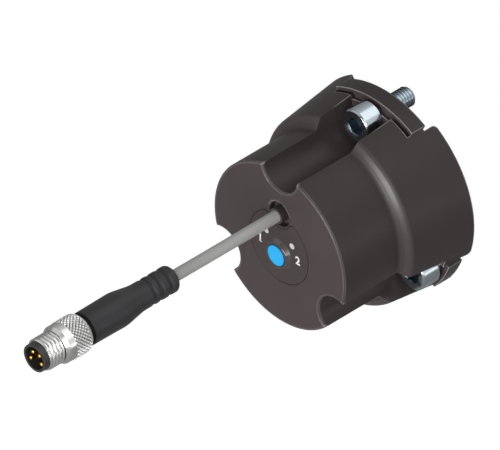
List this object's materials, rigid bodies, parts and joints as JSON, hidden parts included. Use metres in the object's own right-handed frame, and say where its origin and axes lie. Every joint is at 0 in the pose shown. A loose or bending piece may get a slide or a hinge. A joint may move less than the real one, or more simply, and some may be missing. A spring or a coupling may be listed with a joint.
{
  "type": "rotary position sensor",
  "caption": "Round moulded angle sensor with screw ears, a teach button, two lights, a short cable with a round screw plug, and a keyed shaft socket at the back.",
  "frame": {"origin": "centre of the mounting plane, the rear face of the three ears, on the rotor's axis", "axes": "+Y along the rotor's axis towards the drive, +Z through the top screw, the face with the button looks towards -Y"},
  "size_m": [0.0516, 0.1164, 0.0516],
  "materials": {
    "housing_plastic": "moulded, fine matt, dark brown-grey",
    "inlay_plastic": "moulded, satin, dark brown-grey",
    "light_guide": "milky, polished",
    "button_blue": "moulded, satin, bright blue",
    "board_green": "solder mask",
    "chip_black": "moulded epoxy",
    "rotor_metal": "turned",
    "magnet_nickel": "nickel plated",
    "bush_bronze": "sintered bronze",
    "seal_rubber": "moulded rubber",
    "bush_rubber": "moulded, dark brown-grey",
    "steel": "zinc plated, bluish",
    "cable_jacket": "extruded, satin, light grey",
    "wire_jacket": "extruded",
    "plug_plastic": "moulded, satin, black",
    "gold": "gold plated",
    "nickel": "nickel plated"
  },
  "bodies": {
    "sensor": {"housing": "housing_plastic", "inlay_disc": "inlay_plastic", "light_guide_1": "light_guide", "light_guide_2": "light_guide", "button_collar": "inlay_plastic", "circuit_board": "board_green", "status_leds": "light_guide", "tactile_switch": "chip_black", "angle_chip": "chip_black", "inner_cover": "inlay_plastic", "rotor_bush": "bush_bronze", "shaft_seal": "seal_rubber", "bearing_plate": "housing_plastic", "plate_gasket": "seal_rubber", "plate_screws": "steel", "mounting_screws": "steel", "cable_bush": "bush_rubber", "cable": "cable_jacket", "lead_wires": "wire_jacket", "contact_carrier": "plug_plastic", "contact_pins": "gold", "stop_ring": "seal_rubber", "plug_body": "plug_plastic"},
    "button": {"teach_button": "button_blue"},
    "rotor": {"rotor": "rotor_metal", "magnet": "magnet_nickel", "thrust_washer": "steel"},
    "coupling_nut": {"coupling_nut": "nickel"}
  },
  "joints": [
    {"name": "button_press", "type": "slide", "parent": "sensor", "child": "button", "axis": [0, 1, 0], "range_m": [0, 0.00035], "stiffness_N_per_m": 5000},
    {"name": "rotor_turn", "type": "hinge", "parent": "sensor", "child": "rotor", "pos_m": [0, 0, 0], "axis": [0, 1, 0], "continuous": true},
    {"name": "nut_turn", "type": "hinge", "parent": "sensor", "child": "coupling_nut", "pos_m": [0, -0.1008, 0.009], "axis": [0, 1, 0], "continuous": true}
  ]
}
